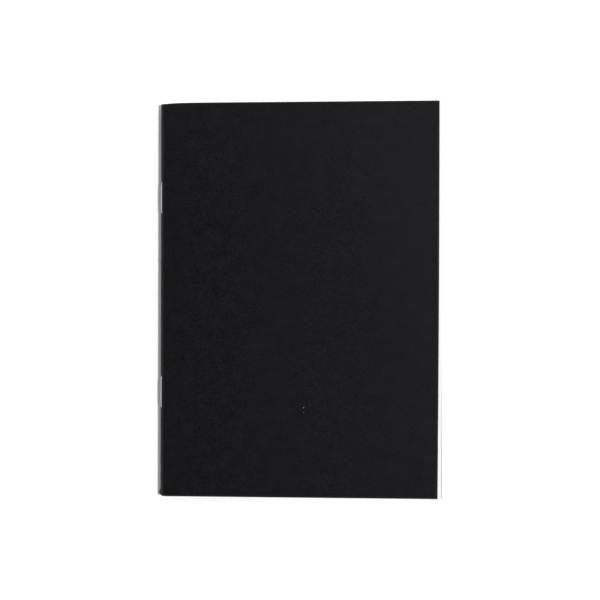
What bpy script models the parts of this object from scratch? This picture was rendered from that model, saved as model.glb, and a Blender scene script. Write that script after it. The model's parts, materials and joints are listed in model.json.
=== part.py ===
# A6 sketch pad: a folded card cover, nested folded drawing sheets and two wire staples through the fold.
# Units are metres. +X runs from the spine to the fore-edge, +Y up the page and +Z up from the back cover.
# The pad is shut. Every half sheet turns about one line, the middle of the fold, which runs along Y.

from math import cos, pi, radians, sin, sqrt

import bmesh
import bpy
from mathutils import Matrix, Vector

MM = 0.001

# Sheets
PAGE_HEIGHT = 148.0 * MM            # along the spine
PAGE_REACH = 105.6 * MM             # from the spine's back to the fore-edge of the innermost leaves
SHEET_COUNT = 10                    # folded drawing sheets, two leaves each
LEAF_THICKNESS = 0.15 * MM
COVER_THICKNESS = 0.30 * MM
SHEET_GAP = 0.02 * MM               # air between neighbouring sheets at the fold
CREEP_STEP = 0.06 * MM              # how much further each sheet reaches than the one round it
COVER_SETBACK_TOP = 0.95 * MM       # innermost leaves' fore-edge to the front cover's, at the head
COVER_SETBACK_BOTTOM = 1.85 * MM    # the same at the foot, because the front cover was cut out of square
BACK_SETBACK = 0.75 * MM            # innermost leaves' fore-edge to the back cover's
FORE_EDGE_LIFT = 1.10 * MM          # how far the front cover springs open at the fore-edge

# Staples
WIRE_DIAMETER = 0.42 * MM
STAPLE_LENGTH = 11.8 * MM           # outside length of the crown
STAPLE_SPACING = 73.0 * MM          # between the two staples' middles
STAPLE_SHIFT = 1.8 * MM             # how far the pair sits above the middle of the spine
STAPLE_TILT = radians(37.5)         # how far the crowns lie round the fold, towards the front cover
CROWN_BED = 0.20 * MM               # how deep the crowns are pressed into the card
CLINCH_LENGTH = 4.2 * MM            # each leg's bent end, from the middle of the leg
BEND_INSIDE = 0.09 * MM             # radius inside the bends of the wire
WIRE_CLEARANCE = 0.05 * MM          # from wire to paper

# Hinge
HINGE_CLEARANCE = 0.10 * MM         # between what turns and what stays at the fold

# Facets
FOLD_STEPS = 12
BEND_STEPS = 4
HOLE_SIDES = 12

# Sizes that follow from those above, measured from the hinge line
WIRE_RADIUS = WIRE_DIAMETER / 2
BEND_RADIUS = BEND_INSIDE + WIRE_RADIUS
SHEET_PITCH = LEAF_THICKNESS + SHEET_GAP
INNER_FOLD = WIRE_RADIUS + WIRE_CLEARANCE + LEAF_THICKNESS / 2
OUTER_FOLD = INNER_FOLD + (SHEET_COUNT - 1) * SHEET_PITCH
COVER_FOLD = OUTER_FOLD + LEAF_THICKNESS / 2 + SHEET_GAP + COVER_THICKNESS / 2
SPINE_BACK = COVER_FOLD + COVER_THICKNESS / 2
CROWN_LINE = SPINE_BACK - CROWN_BED + WIRE_CLEARANCE + WIRE_RADIUS
STAPLE_REACH = max(SPINE_BACK, CROWN_LINE + WIRE_RADIUS)
SWING_RADIUS = STAPLE_REACH + HINGE_CLEARANCE
BACK_REACH = max(SPINE_BACK, CROWN_LINE * cos(STAPLE_TILT) + WIRE_RADIUS)
FORE_EDGE = PAGE_REACH - SPINE_BACK
LEAF_COUNT = 2 * SHEET_COUNT

# The pad's origin is at the middle of its underside
HINGE = Vector(((BACK_REACH - FORE_EDGE) / 2, 0.0, SPINE_BACK))


def clear_scene():
    for thing in list(bpy.data.objects):
        bpy.data.objects.remove(thing, do_unlink=True)


def new_collection(name):
    group = bpy.data.collections.new(name)
    bpy.context.scene.collection.children.link(group)
    return group


def new_material(name, color, roughness, metallic=0.0):
    material = bpy.data.materials.new(name)
    material.use_nodes = True
    shader = material.node_tree.nodes["Principled BSDF"]
    shader.inputs["Base Color"].default_value = (*color, 1.0)
    shader.inputs["Roughness"].default_value = roughness
    shader.inputs["Metallic"].default_value = metallic
    return material


def add_object(name, data, group, material=None):
    # every piece has its origin on the hinge line
    piece = bpy.data.objects.new(name, data)
    piece.location = HINGE
    if material:
        data.materials.append(material)
    group.objects.link(piece)
    return piece


def add_sheet(name, profile, thickness, group, material):
    # an open profile in X and Z, drawn along Y to the page's height and thickened about its middle
    mesh = bpy.data.meshes.new(name)
    shape = bmesh.new()
    foot = [shape.verts.new((x, -PAGE_HEIGHT / 2, z)) for x, z in profile]
    line = [shape.edges.new(pair) for pair in zip(foot, foot[1:])]
    drawn = bmesh.ops.extrude_edge_only(shape, edges=line)["geom"]
    head = [part for part in drawn if isinstance(part, bmesh.types.BMVert)]
    bmesh.ops.translate(shape, verts=head, vec=(0.0, PAGE_HEIGHT, 0.0))
    shape.to_mesh(mesh)
    shape.free()
    sheet = add_object(name, mesh, group, material)
    wall = sheet.modifiers.new("thickness", "SOLIDIFY")
    wall.thickness = thickness
    wall.offset = 0.0
    wall.use_even_offset = True
    return sheet


def sheet_fold(sheet_number):
    # radius of a drawing sheet's fold; sheet 1 lies against the cover
    return OUTER_FOLD - (sheet_number - 1) * SHEET_PITCH


def plate_start(fold, thickness):
    # the whole end of a turning half stays outside the swing circle
    return sqrt(SWING_RADIUS ** 2 - (fold - thickness / 2) ** 2)


def fold_end(fold, thickness):
    # the whole end of a fold stays inside the swing circle by the hinge clearance
    return sqrt((SWING_RADIUS - HINGE_CLEARANCE) ** 2 - (fold + thickness / 2) ** 2)


def add_fold(name, fold, thickness, cutters, group, material):
    # front tangent, half round behind the hinge line, back tangent
    end = fold_end(fold, thickness)
    turns = [pi / 2 + pi * step / FOLD_STEPS for step in range(FOLD_STEPS + 1)]
    bend = [(fold * cos(turn), fold * sin(turn)) for turn in turns]
    profile = [(end, fold), *bend, (end, -fold)]
    strip = add_sheet(name, profile, thickness, group, material)
    for cutter in cutters:
        cut = strip.modifiers.new(cutter.name, "BOOLEAN")
        cut.operation = "DIFFERENCE"
        cut.object = cutter
    return strip


def spring_lift(depth):
    # lift at the fore-edge: all of it at the front cover, depth 0, and none at the back cover
    return FORE_EDGE_LIFT * (1 - depth / (LEAF_COUNT + 1))


def add_leaf(leaf_number, group, material):
    in_front = leaf_number <= SHEET_COUNT
    sheet_number = leaf_number if in_front else LEAF_COUNT + 1 - leaf_number
    fold = sheet_fold(sheet_number)
    level = fold if in_front else -fold
    start = plate_start(fold, LEAF_THICKNESS)
    reach = FORE_EDGE - (SHEET_COUNT - sheet_number) * CREEP_STEP
    profile = [(start, level), (reach, level + spring_lift(leaf_number))]
    return add_sheet(f"leaf_{leaf_number:02d}", profile, LEAF_THICKNESS, group, material)


def add_front_cover(group, material):
    start = plate_start(COVER_FOLD, COVER_THICKNESS)
    profile = [(start, COVER_FOLD), (FORE_EDGE, COVER_FOLD + spring_lift(0))]
    cover = add_sheet("front_cover", profile, COVER_THICKNESS, group, material)
    for vertex in cover.data.vertices:
        if vertex.co.x > FORE_EDGE / 2:
            vertex.co.x -= COVER_SETBACK_TOP if vertex.co.y > 0 else COVER_SETBACK_BOTTOM
    return cover


def add_back_cover(group, material):
    start = plate_start(COVER_FOLD, COVER_THICKNESS)
    profile = [(start, -COVER_FOLD), (FORE_EDGE - BACK_SETBACK, -COVER_FOLD)]
    return add_sheet("back_cover", profile, COVER_THICKNESS, group, material)


def leg_height():
    # along the spine, from a staple's middle to the middle of a leg
    return STAPLE_LENGTH / 2 - WIRE_RADIUS


def staple_heights():
    return {
        "staple_upper": STAPLE_SHIFT + STAPLE_SPACING / 2,
        "staple_lower": STAPLE_SHIFT - STAPLE_SPACING / 2,
    }


def add_rod(shape, place, length):
    # round a wire, with the clearance
    bmesh.ops.create_cone(
        shape,
        cap_ends=True,
        segments=HOLE_SIDES,
        radius1=WIRE_RADIUS + WIRE_CLEARANCE,
        radius2=WIRE_RADIUS + WIRE_CLEARANCE,
        depth=length,
        matrix=place,
    )


def add_wire_cutter(name, rods, group):
    mesh = bpy.data.meshes.new(name)
    shape = bmesh.new()
    for place, length in rods:
        add_rod(shape, place, length)
    shape.to_mesh(mesh)
    shape.free()
    cutter = add_object(name, mesh, group)
    cutter.rotation_euler.y = STAPLE_TILT
    cutter.hide_render = True
    cutter.display_type = "WIRE"
    return cutter


def add_hole_cutter(group):
    # a rod through the fold round each leg, from behind the spine to the hinge line
    along_x = Matrix.Rotation(pi / 2, 4, "Y")
    rods = []
    for height in staple_heights().values():
        for side in (-1, 1):
            middle = (-STAPLE_REACH / 2, height + side * leg_height(), 0.0)
            rods.append((Matrix.Translation(middle) @ along_x, STAPLE_REACH))
    return add_wire_cutter("staple_holes", rods, group)


def add_bed_cutter(group):
    # a rod round each crown, for the groove that it is pressed into
    along_y = Matrix.Rotation(pi / 2, 4, "X")
    rods = []
    for height in staple_heights().values():
        middle = (-CROWN_LINE, height, 0.0)
        rods.append((Matrix.Translation(middle) @ along_y, STAPLE_LENGTH + 2 * WIRE_CLEARANCE))
    return add_wire_cutter("staple_beds", rods, group)


def quarter_bend(centre, from_angle, to_angle):
    # points of a round bend in the plane of the staple
    sweep = to_angle - from_angle
    turns = [from_angle + sweep * step / BEND_STEPS for step in range(BEND_STEPS + 1)]
    return [(centre[0] + BEND_RADIUS * cos(turn), centre[1] + BEND_RADIUS * sin(turn)) for turn in turns]


def staple_path():
    # half a staple in X and Y, from the middle of the crown to the tip of the clinched leg
    leg = leg_height()
    crown_bend = quarter_bend((BEND_RADIUS - CROWN_LINE, leg - BEND_RADIUS), pi, pi / 2)
    clinch_bend = quarter_bend((-BEND_RADIUS, leg - BEND_RADIUS), pi / 2, 0.0)
    tip = (0.0, leg - CLINCH_LENGTH)
    return [*crown_bend, *clinch_bend, tip]


def add_staple(name, height, group, material):
    upper = staple_path()
    lower = [(x, -y) for x, y in reversed(upper)]
    points = lower + upper
    wire = bpy.data.curves.new(name, "CURVE")
    wire.dimensions = "3D"
    wire.bevel_depth = WIRE_RADIUS
    wire.bevel_resolution = 2
    wire.use_fill_caps = True
    path = wire.splines.new("POLY")
    path.points.add(len(points) - 1)
    for point, (x, y) in zip(path.points, points):
        point.co = (x, height + y, 0.0, 1.0)
    staple = add_object(name, wire, group, material)
    staple.rotation_euler.y = STAPLE_TILT
    return staple


def build_pad():
    clear_scene()
    pad = new_collection("sketch_pad")
    cutters = new_collection("sketch_pad_cutters")
    card = new_material("black card", (0.012, 0.012, 0.013), 0.85)
    paper = new_material("drawing paper", (0.93, 0.91, 0.87), 0.9)
    steel = new_material("staple wire", (0.62, 0.62, 0.63), 0.3, 1.0)

    holes = add_hole_cutter(cutters)
    beds = add_bed_cutter(cutters)
    add_front_cover(pad, card)
    add_fold("cover_spine", COVER_FOLD, COVER_THICKNESS, [holes, beds], pad, card)
    add_back_cover(pad, card)
    for number in range(1, SHEET_COUNT + 1):
        add_fold(f"sheet_fold_{number:02d}", sheet_fold(number), LEAF_THICKNESS, [holes], pad, paper)
    for number in range(1, LEAF_COUNT + 1):
        add_leaf(number, pad, paper)
    for name, height in staple_heights().items():
        add_staple(name, height, pad, steel)
    print(f"hinge line at x {HINGE.x:.6f}, z {HINGE.z:.6f}, swing radius {SWING_RADIUS:.6f}")


build_pad()
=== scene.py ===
import json
from math import cos, pi, radians, sin

import bpy
import numpy as np
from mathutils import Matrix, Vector


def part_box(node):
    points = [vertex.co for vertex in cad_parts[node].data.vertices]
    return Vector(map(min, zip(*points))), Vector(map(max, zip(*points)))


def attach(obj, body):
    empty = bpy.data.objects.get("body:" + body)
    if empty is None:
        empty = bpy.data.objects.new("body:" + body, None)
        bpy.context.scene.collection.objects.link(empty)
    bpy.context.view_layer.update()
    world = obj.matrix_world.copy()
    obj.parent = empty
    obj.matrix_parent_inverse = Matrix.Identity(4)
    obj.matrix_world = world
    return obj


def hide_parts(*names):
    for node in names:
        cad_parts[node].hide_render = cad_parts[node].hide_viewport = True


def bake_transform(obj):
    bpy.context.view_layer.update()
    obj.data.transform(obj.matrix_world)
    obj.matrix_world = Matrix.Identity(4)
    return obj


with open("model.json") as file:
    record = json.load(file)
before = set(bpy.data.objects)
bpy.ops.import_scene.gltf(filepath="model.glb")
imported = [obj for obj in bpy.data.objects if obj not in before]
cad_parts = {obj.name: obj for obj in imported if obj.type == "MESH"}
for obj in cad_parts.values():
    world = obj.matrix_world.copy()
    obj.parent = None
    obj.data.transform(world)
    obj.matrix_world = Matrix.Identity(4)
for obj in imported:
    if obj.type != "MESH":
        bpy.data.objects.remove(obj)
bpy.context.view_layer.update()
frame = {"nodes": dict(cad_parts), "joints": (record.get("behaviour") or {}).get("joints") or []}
mm = 0.001
hinge = next(Vector(joint["pos_m"]) for joint in frame["joints"] if joint["name"] == "cover_hinge")
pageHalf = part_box("back_cover")[1].y  # half the page's height
spineBack = hinge.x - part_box("cover_spine")[0].x  # from the hinge line to the outside of the fold
print("frame loaded, hinge line at", tuple(round(value, 6) for value in hinge))


# Shader maths: a Value is a socket that can stand in a sum
class Value:
    def __init__(self, finish, socket):
        self.finish, self.socket = finish, socket

    def maths(self, operation, *terms):
        inputs = dict(enumerate(terms))
        return self.finish.node("ShaderNodeMath", dict(operation=operation), inputs)

    def __add__(self, other):
        return self.maths("ADD", self, other)

    def __radd__(self, other):
        return self.maths("ADD", other, self)

    def __sub__(self, other):
        return self.maths("SUBTRACT", self, other)

    def __rsub__(self, other):
        return self.maths("SUBTRACT", other, self)

    def __mul__(self, other):
        return self.maths("MULTIPLY", self, other)

    def __rmul__(self, other):
        return self.maths("MULTIPLY", other, self)

    def clipped(self):
        return self.maths("MINIMUM", self.maths("MAXIMUM", self, 0.0), 1.0)

    def swing(self):
        # a noise about its middle, from -0.5 to 0.5
        return self - 0.5

    def fade(self, full, none):
        # 1 where the value is at full, easing to 0 where it is at none
        settings = dict(interpolation_type="SMOOTHSTEP")
        inputs = {"Value": self, "From Min": full, "From Max": none, "To Min": 1.0, "To Max": 0.0}
        return self.finish.node("ShaderNodeMapRange", settings, inputs)


# a new material's nodes, or those of a tree that is there already
class Finish:
    def __init__(self, name, tree=None):
        if tree is None:
            self.material = bpy.data.materials.new(name)
            self.material.use_nodes = True
            tree = self.material.node_tree
        self.tree = tree
        self.shader = tree.nodes.get("Principled BSDF")

    def node(self, kind, settings, inputs, output=0):
        made = self.tree.nodes.new(kind)
        for key, value in settings.items():
            setattr(made, key, value)
        for key, value in inputs.items():
            self.feed(made.inputs[key], value)
        return Value(self, made.outputs[output])

    def feed(self, socket, value):
        if isinstance(value, Value):
            self.tree.links.new(value.socket, socket)
        else:
            socket.default_value = value

    def wear(self, **sockets):
        for key, value in sockets.items():
            self.feed(self.shader.inputs[key.replace("_", " ")], value)

    def place(self):
        return self.node("ShaderNodeTexCoord", {}, {}, "Object")

    def noise(self, size, detail, rough, stretch=(1.0, 1.0, 1.0)):
        # noise from 0 to 1 whose blots are about size metres across, drawn out by stretch
        scale = tuple(1.0 / (size * pull) for pull in stretch)
        laid = self.node("ShaderNodeMapping", {}, {"Vector": self.place(), "Scale": scale})
        settings = dict(noise_dimensions="3D")
        inputs = {"Vector": laid, "Scale": 1.0, "Detail": detail, "Roughness": rough}
        return self.node("ShaderNodeTexNoise", settings, inputs)

    def measure(self, name):
        # a number that the mesh carries at its points
        return self.node("ShaderNodeAttribute", dict(attribute_name=name), {}, "Fac")

    def tint(self, amount, low, high):
        # low where amount is 0 and high where it is 1
        settings = dict(data_type="RGBA", blend_type="MIX")
        return self.node("ShaderNodeMix", settings, {0: amount, 6: low, 7: high}, 2)

    def bump(self, height, depth, strength):
        inputs = {"Height": height, "Distance": depth, "Strength": strength}
        return self.node("ShaderNodeBump", {}, inputs)


blackCard = dict(
    dark=(0.0004, 0.0004, 0.0007, 1.0),
    light=(0.0072, 0.0069, 0.0090, 1.0),
    rubbedAndHighlight=(0.045, 0.044, 0.043, 1.0),  # where the fold and the cut edges have lost their black; along the fold it is also a painted highlight
    core=(0.020, 0.020, 0.021, 1.0),  # a cut edge
    grain=(0.55 * mm, 3.0, 0.62),  # of each noise: size of its blots, detail and roughness
    mottle=(5.0 * mm, 3.0, 0.55),
    tooth=(0.22 * mm, 2.0, 0.6),
    grainPull=2.9,  # shares of grain and mottle in the mix of dark and light
    mottlePull=0.8,
    mixShift=-1.375,
    paintedLightPull=0.38,  # painted light: the card's colour is made paler towards its outer corner at the head, as where more light falls
    paintedLightToward=(0.5, 0.87, 0.0),
    paintedLightReach=(90 * mm, 0.0),  # that way from the middle: palest, and no paler than the rest
    grainTear=1.6,  # mm by which grain and mottle shift the border of a paler place, rubbed, and at the ridge also a painted highlight
    mottleTear=0.8,
    tearShift=-1.2,
    ridgeRubAndHighlight=0.50,
    ridgeFade=(1.0, 3.2),  # mm from the ridge of the fold: rubbed and painted highlight most, and not at all
    edgeRub=0.30,
    edgeFade=(0.1, 0.8),  # mm from a cut edge
    edgeTear=0.45,  # the border's shift there, as a share of its shift at the ridge
    rough=0.56,
    grainRough=0.16,  # how far grain and mottle change the roughness
    mottleRough=0.10,
    ridgePolish=0.06,
    gloss=0.07,
    toothShare=0.7,  # of the bump, which is tooth and grain
    toothDepth=0.02 * mm,
    toothForce=0.6,
    speckPlaces=((1.3 * mm, -40.4 * mm), (1.3 * mm, -42.25 * mm)),
    speckSizes=(0.24 * mm, 0.18 * mm),
    speckFade=(0.4, 1.1),  # times its size: pale out to the first, and not past the second
    speckPale=(0.15, 0.15, 0.147, 1.0),
)


def makeBlackCard():
    it = blackCard
    card = Finish("black card")
    grain = card.noise(*it["grain"])
    mottle = card.noise(*it["mottle"])
    tooth = card.noise(*it["tooth"])
    # painted light: the card is made paler towards its outer corner at the head
    inputs = {0: card.place(), 1: it["paintedLightToward"]}
    toCorner = card.node("ShaderNodeVectorMath", dict(operation="DOT_PRODUCT"), inputs, "Value")
    mix = it["grainPull"] * grain + it["mottlePull"] * mottle + it["mixShift"]
    mix = mix + it["paintedLightPull"] * toCorner.fade(*it["paintedLightReach"])
    black = card.tint(mix.clipped(), it["dark"], it["light"])

    # rubbing along the ridge of the fold, where it is also a painted highlight, and along the cut edges,
    # broken up by the grain
    tear = it["grainTear"] * grain + it["mottleTear"] * mottle + it["tearShift"]
    ridge = (card.measure("foldDistance") * (1.0 / mm) + tear).fade(*it["ridgeFade"])
    edge = (card.measure("edgeDistance") * (1.0 / mm) + it["edgeTear"] * tear).fade(*it["edgeFade"])
    black = card.tint((it["ridgeRubAndHighlight"] * ridge + it["edgeRub"] * edge).clipped(), black, it["rubbedAndHighlight"])
    black = card.tint(card.measure("cutEdge"), black, it["core"])

    # two flecks of dust on the front, by the distance from each one's place on the page
    onPage = card.node("ShaderNodeVectorMath", dict(operation="MULTIPLY"), {0: card.place(), 1: (1, 1, 0)})
    for (across, up), size in zip(it["speckPlaces"], it["speckSizes"]):
        settings = dict(operation="DISTANCE")
        away = card.node("ShaderNodeVectorMath", settings, {0: onPage, 1: (across, up, 0.0)}, "Value")
        full, none = (share * size for share in it["speckFade"])
        fleck = (away + tooth.swing() * size).fade(full, none)
        black = card.tint(fleck * card.measure("frontFace"), black, it["speckPale"])

    rough = it["rough"] + it["grainRough"] * grain.swing() + it["mottleRough"] * mottle.swing()
    rough = rough - it["ridgePolish"] * ridge
    card.wear(Base_Color=black, Roughness=rough, Specular_IOR_Level=it["gloss"])
    relief = it["toothShare"] * tooth + (1 - it["toothShare"]) * grain
    card.wear(Normal=card.bump(relief, it["toothDepth"], it["toothForce"]))
    return card.material


drawingPaper = dict(
    shade=(0.728, 0.715, 0.693, 1.0),
    white=(0.800, 0.787, 0.765, 1.0),
    cut=(0.42, 0.41, 0.40, 1.0),
    tooth=(0.35 * mm, 3.0, 0.6),  # of each noise: size of its blots, detail and roughness
    fibre=(0.12 * mm, 2.0, 0.5, (1.0, 5.0, 1.0)),  # and how far it is drawn out, along the page
    cloud=(9.0 * mm, 3.0, 0.5),
    toothPull=0.5,  # shares of tooth and cloud in the mix of shade and white
    cloudPull=0.4,
    mixShift=0.35,
    rimFade=(0.03, 0.10),  # mm from a cut edge, where painted shade greys it
    rimTear=0.05,
    rimShadePull=0.9,
    rimShadeUp=(-1.0, 0.1),  # half pages up from the middle: painted shade strongest, and none
    rough=0.86,
    toothRough=0.10,
    gloss=0.25,
    toothShare=0.65,  # of the bump, which is tooth and fibre
    toothDepth=0.02 * mm,
    toothForce=0.7,
)


def makeDrawingPaper():
    it = drawingPaper
    paper = Finish("drawing paper")
    tooth = paper.noise(*it["tooth"])
    fibre = paper.noise(*it["fibre"])
    cloud = paper.noise(*it["cloud"])
    mix = it["toothPull"] * tooth + it["cloudPull"] * cloud + it["mixShift"]
    white = paper.tint(mix.clipped(), it["shade"], it["white"])
    rim = paper.measure("edgeDistance") * (1.0 / mm) + it["rimTear"] * fibre.swing()
    upPage = paper.node("ShaderNodeSeparateXYZ", {}, {0: paper.place()}, "Y")
    most, none = (share * pageHalf for share in it["rimShadeUp"])
    # painted shade: the cut edges are greyed, most towards the foot, standing in for the shade along the
    # edges of the stacked leaves
    paintedRimShade = rim.fade(*it["rimFade"]) * upPage.fade(most, none)
    white = paper.tint(it["rimShadePull"] * paintedRimShade, white, it["cut"])
    rough = it["rough"] + it["toothRough"] * tooth.swing()
    paper.wear(Base_Color=white, Roughness=rough, Specular_IOR_Level=it["gloss"])
    relief = it["toothShare"] * tooth + (1 - it["toothShare"]) * fibre
    paper.wear(Normal=paper.bump(relief, it["toothDepth"], it["toothForce"]))
    return paper.material


stapleWire = dict(
    bright=(0.64, 0.64, 0.645, 1.0),
    dull=(0.38, 0.375, 0.37, 1.0),
    drawn=(0.05 * mm, 2.0, 0.5, (1.0, 40.0, 1.0)),  # lines that the die left, drawn out along the crown
    stain=(0.6 * mm, 3.0, 0.6),
    drawnPull=0.5,  # shares of lines and stain in the mix of dull and bright
    stainPull=0.9,
    mixShift=-0.2,
    rough=0.48,
    drawnRough=0.14,
    stainRough=0.18,
    lineDepth=0.004 * mm,
    lineForce=0.5,
)


def makeStapleWire():
    it = stapleWire
    wire = Finish("staple wire")
    drawn = wire.noise(*it["drawn"])
    stain = wire.noise(*it["stain"])
    mix = it["drawnPull"] * drawn + it["stainPull"] * stain + it["mixShift"]
    steel = wire.tint(mix.clipped(), it["dull"], it["bright"])
    rough = it["rough"] + it["drawnRough"] * drawn.swing() + it["stainRough"] * stain.swing()
    wire.wear(Base_Color=steel, Metallic=1.0, Roughness=rough)
    wire.wear(Normal=wire.bump(drawn, it["lineDepth"], it["lineForce"]))
    return wire.material


# Meshes
sharpFrom = radians(38)  # an edge that turns by more than this stays crisp


def putMesh(name, points, faces, material, measures):
    points = np.asarray(points).reshape(-1, 3)
    mesh = bpy.data.meshes.new(name)
    mesh.from_pydata(points.tolist(), [], faces)
    for key, values in measures.items():
        store = mesh.attributes.new(key, "FLOAT", "POINT")
        store.data.foreach_set("value", np.asarray(values, np.float32).ravel())
    mesh.materials.append(material)
    mesh.shade_smooth()
    mesh.set_sharp_from_angle(angle=sharpFrom)
    piece = bpy.data.objects.new(name, mesh)
    bpy.context.scene.collection.objects.link(piece)
    return piece


def wallFaces(stations, around):
    # quads between one station's ring and the next one's
    i, j = np.meshgrid(np.arange(stations - 1), np.arange(around), indexing="ij")
    k = (j + 1) % around
    rings = [i * around + j, (i + 1) * around + j, (i + 1) * around + k, i * around + k]
    return np.stack(rings, -1).reshape(-1, 4)


def sheetFaces(stations, rows):
    # walls, then the two ends, where each point of the outer face is joined to the one under it
    around = 2 * rows + 4
    outer = np.concatenate([[2 * rows + 3], np.arange(rows + 1)])
    inner = np.arange(2 * rows + 2, rows, -1)
    end = np.stack([outer[:-1], inner[:-1], inner[1:], outer[1:]], -1)
    last = (stations - 1) * around
    return np.concatenate([wallFaces(stations, around), end[:, ::-1], end + last])


page = dict(
    foldSteps=40,  # stations round the whole fold
    nearSteps=10,  # stations on the stretch next to the fold
    farSteps=30,
    nearRun=3.2 * mm,
    rows=29,  # evenly spaced points up the page
    closeIn=np.array([3.5, 2.7, 2.1, 1.6, 1.2, 0.8, 0.4, 0.15]) * mm,  # extra points near the cuts
    headDip=0.42 * mm,  # how far the head edge is drawn down at the fold
    dipReach=3.5 * mm,
    dipPower=6,  # of the share of the way to the head, so that only its last part is drawn down
    footSlant=0.20 * mm,  # the foot is cut this much shorter at the fold than at the fore-edge
    footRound=0.60 * mm,  # the corner at the foot of the ridge is worn round
    roundReach=1.4 * mm,
    roundPower=30,  # of the share of the way to the foot
    warp=0.20 * mm,  # unevenness of the front cover, less on each leaf below it
    longWave=(190 * mm, 0.6, 0.9),  # of the warp: length, share and phase
    shortWave=(120 * mm, 0.4, -0.5),
)


def springShape(x, y, start, reach, lift, share):
    # height gained over the flat sheet, and its slope: a straight rise to the fore-edge plus a slow warp
    run = np.clip((x - start) / (reach - start), 0.0, 1.0)
    (long, longShare, longPhase), (short, shortShare, shortPhase) = page["longWave"], page["shortWave"]
    slow, quick = 2 * pi * y / long + longPhase, 2 * pi * y / short + shortPhase
    wave = longShare * np.cos(slow) + shortShare * np.sin(quick)
    height = lift * run + page["warp"] * share * run ** 2 * wave
    slope = (lift + 2 * page["warp"] * share * run * wave) / (reach - start) * (run > 0)
    return height, slope


def trimmed(y, x, along, reach):
    # where the cut leaves each point: the head drawn down at the fold, the foot slanted, its corner round
    it = page
    pastHinge = np.maximum(x, 0)
    head, foot = np.clip(y / pageHalf, 0, 1), np.clip(-y / pageHalf, 0, 1)
    dip = it["headDip"] * np.exp(-pastHinge / it["dipReach"]) * head ** it["dipPower"]
    slant = it["footSlant"] * (1 - pastHinge / reach(y)) * foot
    corner = it["footRound"] * np.exp(-(along / it["roundReach"]) ** 2) * foot ** it["roundPower"]
    return y - dip + slant + corner


knock = dict(
    up=1.5 * mm,  # the knocked place on the ridge, above the foot
    tall=0.95 * mm,
    deep=1.6 * mm,
    out=0.75 * mm,
    down=1.3 * mm,
)


def knocked(points):
    # a bell-shaped push out and down round a place on the ridge, with no push down at the floor
    it = knock
    ridge = np.array([hinge.x - spineBack, it["up"] - pageHalf, hinge.z])
    away = (points - ridge) / [it["deep"], it["tall"], it["deep"]]
    push = np.exp(-(away ** 2).sum(-1))
    down = it["down"] * np.clip(points[..., 2] / hinge.z, 0, 1)
    return points - np.stack([it["out"] * push, 0 * push, down * push], -1)


pinch = dict(
    deep=0.11 * mm,  # how far the card is drawn in where a leg of a staple goes through it
    wide=0.55 * mm,
    rows=np.array([-1.2, -0.8, -0.5, -0.25, 0.0, 0.25, 0.5, 0.8, 1.2]) * mm,  # extra points near a leg
)


def legPlaces():
    # how far up the page the legs of the staples go through the fold
    ends = np.array([[corner.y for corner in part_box(node)] for node in stapleNodes])
    return (ends + np.array([1, -1]) * staple["thin"] / 2).ravel()


def pinched(points, thickness):
    # a bell-shaped push in round each leg, full on the card's outer face and none on its inner one
    tilt, (x, y, z) = staple["tilt"], np.moveaxis(points, -1, 0)
    aside = np.hypot(x - hinge.x + spineBack * cos(tilt), z - hinge.z - spineBack * sin(tilt))
    up = np.abs(y[..., None] - legPlaces()).min(-1)
    outward = np.clip((np.hypot(x - hinge.x, z - hinge.z) - spineBack) / thickness + 1, 0, 1)
    push = pinch["deep"] * outward * np.exp(-(aside ** 2 + up ** 2) / pinch["wide"] ** 2)
    return points + push[..., None] * [cos(tilt), 0.0, -sin(tilt)]


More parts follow.
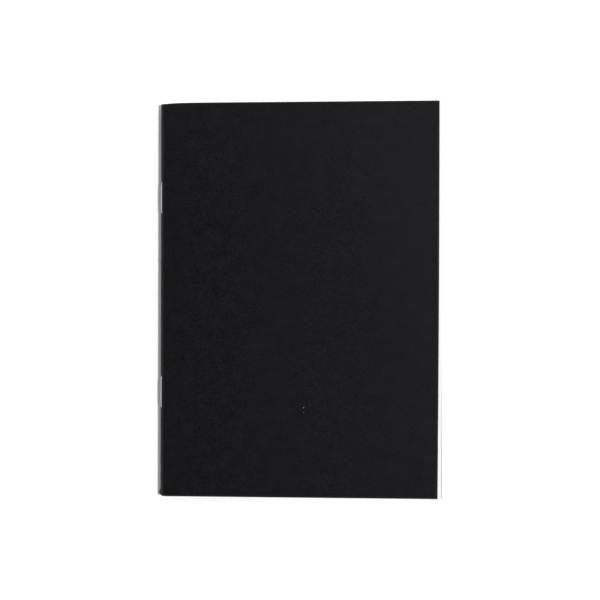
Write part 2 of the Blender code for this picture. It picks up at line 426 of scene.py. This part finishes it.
def halfSheet(name, fold, side, reach, lift, share, stock, material):
    # Along: half a round of radius fold behind the hinge line, from under it to over it, then a run out to
    # reach(y). Across: the page's height, with a small bevel on the cut edges. side is 1 in front and -1
    # behind, where the sheet is the run alone, because the front half already has the fold.
    half, edge, it = stock["thickness"] / 2, stock["edge"], page
    inside = pageHalf - edge
    close = inside - it["closeIn"]
    rows = np.union1d(np.linspace(-inside, inside, it["rows"]), np.concatenate([-close, close]))
    if stock["pinched"]:
        rows = np.union1d(rows, legPlaces()[:, None] + pinch["rows"])
    count = len(rows)
    beside = np.array([pageHalf, pageHalf])
    y = np.concatenate([rows, beside, rows[::-1], -beside])
    thin = 1 - edge / half
    depth = np.concatenate([np.ones(count), [thin, -thin], -np.ones(count), [-thin, thin]]) * half
    isCut = np.concatenate([np.zeros(count), [1, 1], np.zeros(count), [1, 1]])

    turns = np.linspace(-pi / 2, pi / 2, it["foldSteps"] + 1)[:, None]
    if side < 0:
        turns = turns[-1:]
    roundX, roundZ = -fold * np.cos(turns), fold * np.sin(turns)
    near = np.linspace(0, it["nearRun"], it["nearSteps"] + 1)[1:, None] + 0 * y
    ends = reach(y) - edge
    shares = np.linspace(0, 1, it["farSteps"] + 1)[1:, None]
    far = it["nearRun"] + shares * (ends - it["closeIn"][0] - it["nearRun"])
    runX = np.concatenate([near, far, ends - it["closeIn"][1:, None], ends[None, :], reach(y)[None, :]])
    rise, slope = springShape(runX, y, it["nearRun"], reach(y), lift, share)

    x = np.concatenate([roundX + 0 * y, runX])
    z = np.concatenate([roundZ + 0 * y, fold + side * rise])
    normalX = np.concatenate([-np.cos(turns) + 0 * y, -side * slope])
    normalZ = np.concatenate([np.sin(turns) + 0 * y, np.ones_like(slope)])
    length = np.hypot(normalX, normalZ)
    thick = np.ones((len(x), 1)) * depth
    thick[-1] *= thin
    along = np.concatenate([fold * np.abs(turns) + 0 * y, fold * pi / 2 + runX])
    points = knocked(np.stack([
        hinge.x + x + thick * normalX / length,
        trimmed(y, x, along, reach),
        hinge.z + side * (z + thick * normalZ / length),
    ], -1))
    if stock["pinched"]:
        points = pinched(points, stock["thickness"])

    cutEdge = isCut + 0 * x
    cutEdge[-1] = 1
    measures = dict(
        foldDistance=along,
        edgeDistance=np.minimum(pageHalf - np.abs(y) + 0 * x, np.abs(reach(y) - x)),
        cutEdge=cutEdge,
        frontFace=(depth > 0) * (side > 0) + 0 * x,
    )
    faces = sheetFaces(len(x), count)[:, ::side]
    return putMesh(name, points, faces.tolist(), material, measures)


def bindFront(piece, fold, thickness):
    # bakes the piece's place into its points; it is not bound to turn with the fold or the cover
    rise = Vector((0, 0, fold - thickness / 2))
    hinge - rise
    hinge + rise
    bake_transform(piece)


def bindBack(piece, slack):
    # bakes the piece's place into its points; nothing is bound to bend or turn
    hinge + Vector((slack, 0, 0))
    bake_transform(piece)


def foldRadius(node, thickness):
    # to the middle of the sheet, from the back of its fold
    return hinge.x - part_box(node)[0].x - thickness / 2


def nodePoints(node):
    mesh = frame["nodes"][node].data
    places = np.empty(3 * len(mesh.vertices), np.float32)
    mesh.vertices.foreach_get("co", places)
    return places.reshape(-1, 3)


coverStock = dict(
    thickness=0.30 * mm,
    edge=0.04 * mm,
    bow=0.14 * mm,  # how far the front cover's fore-edge swells past a straight cut
    pinched=True,
)


def makeCover(material):
    # two half sheets of card: the front one has the fold, a fore-edge that slants and bows, and the spring
    it = coverStock
    fold = foldRadius("cover_spine", it["thickness"])
    low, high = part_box("front_cover")
    cad = nodePoints("front_cover")
    headReach = high.x - hinge.x
    footReach = cad[cad[:, 1] < 0, 0].max() - hinge.x  # its farthest point below the middle
    lift = high.z - low.z - it["thickness"]

    def frontReach(y):
        up = (y / pageHalf + 1) / 2
        return footReach + (headReach - footReach) * up + it["bow"] * (1 - (y / pageHalf) ** 2)

    def backReach(y):
        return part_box("back_cover")[1].x - hinge.x + 0 * y

    front = halfSheet("cover_front_half", fold, 1, frontReach, lift, 1.0, it, material)
    bindFront(front, fold, it["thickness"])
    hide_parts("front_cover", "cover_spine")
    back = halfSheet("cover_back_half", fold, -1, backReach, 0.0, 0.0, it, material)
    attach(back, "bound_spine")
    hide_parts("back_cover")
    print("cover made, fold radius", round(fold / mm, 3), "mm, spring", round(lift / mm, 2), "mm")
    return lift


leafStock = dict(
    thickness=0.15 * mm,
    edge=0.015 * mm,
    slack=1.6 * mm,  # how far past its fold a back leaf would still bend; bindBack takes it, but nothing is bound to bend
    pinched=False,
)


def makeLeaves(material, coverLift):
    # two half sheets of paper for each fold, the front ones sharing the cover's spring by their own lift
    it = leafStock
    sheets = sum(name.startswith("sheet_fold_") for name in frame["nodes"])
    for number in range(1, 2 * sheets + 1):
        side = 1 if number <= sheets else -1
        sheet = number if side > 0 else 2 * sheets + 1 - number
        node, strip = f"leaf_{number:02d}", f"sheet_fold_{sheet:02d}"
        low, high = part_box(node)
        fold = foldRadius(strip, it["thickness"])
        lift = high.z - low.z - it["thickness"]
        far = high.x - hinge.x
        share = lift / coverLift

        def leafReach(y):
            return far + 0 * y

        leaf = halfSheet(f"{node}_paper", fold, side, leafReach, lift, share, it, material)
        if side > 0:
            bindFront(leaf, fold, it["thickness"])
            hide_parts(node, strip)
        else:
            bindBack(leaf, it["slack"])
            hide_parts(node)
    print(2 * sheets, "leaves made from", sheets, "folded sheets")


stapleNodes = ("staple_upper", "staple_lower")
staple = dict(
    wide=0.46 * mm,  # flattened wire
    thin=0.26 * mm,
    pressed=0.17 * mm,  # how far the crown bites into the card at its ends
    bow=0.08 * mm,  # how much less it does so in its middle
    crownSteps=12,
    tilt=radians(33),  # how far the crown lies round the fold
    bend=0.30 * mm,  # to the middle of the wire
    clinch=4.2 * mm,
    tipThin=0.8,  # the wire's end, as a share of the wire
    tipBevel=0.15,  # its length, as a share of half the wire's thickness
    bendSteps=10,
    sides=20,
    share=0.64,  # how far a staple lies from where nothing turns to where all turns with the cover
    farOff=20.0,  # metres between those two places; the staple's point between them is worked out, but nothing is bound to it
)


def makeStaple(node, material):
    # an oval section carried along a flat path: a bowed crown, bends, legs, bends and clinched tips
    it = staple
    half = it["thin"] / 2
    low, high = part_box(node)
    middle, leg = (low.y + high.y) / 2, (high.y - low.y) / 2 - half
    crown = spineBack - it["pressed"] + half
    turn = np.linspace(0, pi / 2, it["bendSteps"] + 1)
    outer = [it["bend"] * (1 - np.cos(turn)) - crown, leg - it["bend"] * (1 - np.sin(turn))]
    inner = [it["bend"] * (np.sin(turn) - 1), leg - it["bend"] * (1 - np.cos(turn))]
    tip = [[0.0, 0.0], [leg - it["clinch"] + it["tipBevel"] * half, leg - it["clinch"]]]
    upper = np.concatenate([outer, inner, tip], 1).T
    span = np.linspace(-1, 1, it["crownSteps"] + 1)[1:-1]
    bowed = np.stack([-crown - it["bow"] * (1 - span ** 2), span * (leg - it["bend"])], -1)
    path = np.concatenate([upper[::-1] * [1, -1], bowed, upper])
    size = np.ones((len(path), 1))
    size[[0, -1]] *= it["tipThin"]
    along = np.gradient(path, axis=0)
    along /= np.linalg.norm(along, axis=1)[:, None]
    ring = np.linspace(0, 2 * pi, it["sides"], endpoint=False)
    across = along[:, None, ::-1] * [1, -1]
    away = path[:, None] + half * (size * np.cos(ring))[..., None] * across
    lift = it["wide"] / 2 * size * np.sin(ring)
    points = np.stack([
        hinge.x + away[..., 0] * cos(it["tilt"]) + lift * sin(it["tilt"]),
        middle + away[..., 1],
        hinge.z - away[..., 0] * sin(it["tilt"]) + lift * cos(it["tilt"]),
    ], -1)
    first = np.arange(it["sides"])
    caps = [first.tolist(), (first[::-1] + (len(path) - 1) * it["sides"]).tolist()]
    faces = wallFaces(len(path), it["sides"]).tolist() + caps
    wire = putMesh(f"{node}_wire", points, faces, material, {})
    seat, reach = Vector((hinge.x, middle, hinge.z)), Vector((0, it["farOff"], 0))
    start = seat - it["share"] * reach
    start + reach
    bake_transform(wire)
    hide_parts(node)
    print(node, "made, crown", round(2 * (leg + half) / mm, 2), "mm long")


cardFinish = makeBlackCard()
paperFinish = makeDrawingPaper()
wireFinish = makeStapleWire()
frontLift = makeCover(cardFinish)
makeLeaves(paperFinish, frontLift)
for stapleNode in stapleNodes:
    makeStaple(stapleNode, wireFinish)


# Stage, light and camera
studio = dict(
    floorSize=80.0,
    floorWhite=(0.92, 0.92, 0.92, 1.0),
    keyPower=14.0,
    keySize=0.152,
    keyDistance=1.27,
    keyHeight=radians(65),  # above the floor
    keyTurn=radians(-5),  # from the fore-edge side towards the head
    skyLow=(0.84, 0.84, 0.84, 1.0),
    skyHigh=(0.14, 0.14, 0.14, 1.0),
    skyFade=(0.45, 0.90),  # height of a direction: bright below the first, dim above the second
    headGlow=0.50,  # how much further up the bright part comes on the head side
)


def makeStage():
    it = studio
    across = np.array([-1, 1, 1, -1]) * it["floorSize"] / 2
    up = np.array([-1, -1, 1, 1]) * it["floorSize"] / 2
    mesh = bpy.data.meshes.new("floor")
    mesh.from_pydata(np.stack([across, up, 0 * up], -1).tolist(), [], [(0, 1, 2, 3)])
    floor = bpy.data.objects.new("floor", mesh)
    bpy.context.scene.collection.objects.link(floor)
    white = Finish("floor white")
    white.wear(Base_Color=it["floorWhite"], Roughness=1.0, Specular_IOR_Level=0.0)
    mesh.materials.append(white.material)

    world = bpy.data.worlds.new("studio")
    world.use_nodes = True
    sky = Finish("studio", world.node_tree)
    direction = sky.node("ShaderNodeTexCoord", {}, {}, "Generated")
    height = sky.node("ShaderNodeSeparateXYZ", {}, {0: direction}, "Z")
    headward = sky.node("ShaderNodeSeparateXYZ", {}, {0: direction}, "Y")
    shade = sky.tint((height - it["headGlow"] * headward).fade(*it["skyFade"]), it["skyHigh"], it["skyLow"])
    sky.feed(world.node_tree.nodes["Background"].inputs["Color"], shade)
    bpy.context.scene.world = world

    key = bpy.data.lights.new("key", "AREA")
    key.shape, key.size, key.energy = "DISK", it["keySize"], it["keyPower"]
    lamp = bpy.data.objects.new("key", key)
    flat = cos(it["keyHeight"])
    aim = Vector((flat * cos(it["keyTurn"]), flat * sin(it["keyTurn"]), sin(it["keyHeight"])))
    lamp.location = aim * it["keyDistance"]
    lamp.rotation_mode = "QUATERNION"
    lamp.rotation_quaternion = aim.to_track_quat("Z", "Y")
    bpy.context.scene.collection.objects.link(lamp)


view = dict(
    place=(19.76 * mm, -5.90 * mm, 455.13 * mm),
    turn=(radians(0.722), radians(2.525), radians(0.038)),
    lens=72.41,
    sensor=36.0,
    clip=(0.01, 100.0),
)


def makeCamera():
    eye = bpy.data.cameras.new("camera")
    eye.sensor_width, eye.lens = view["sensor"], view["lens"]
    eye.clip_start, eye.clip_end = view["clip"]
    camera = bpy.data.objects.new("camera", eye)
    camera.location, camera.rotation_euler = view["place"], view["turn"]
    bpy.context.scene.collection.objects.link(camera)
    bpy.context.scene.camera = camera
    bpy.context.scene.view_settings.view_transform = "Standard"


makeStage()
makeCamera()
print("stage, light and camera set")
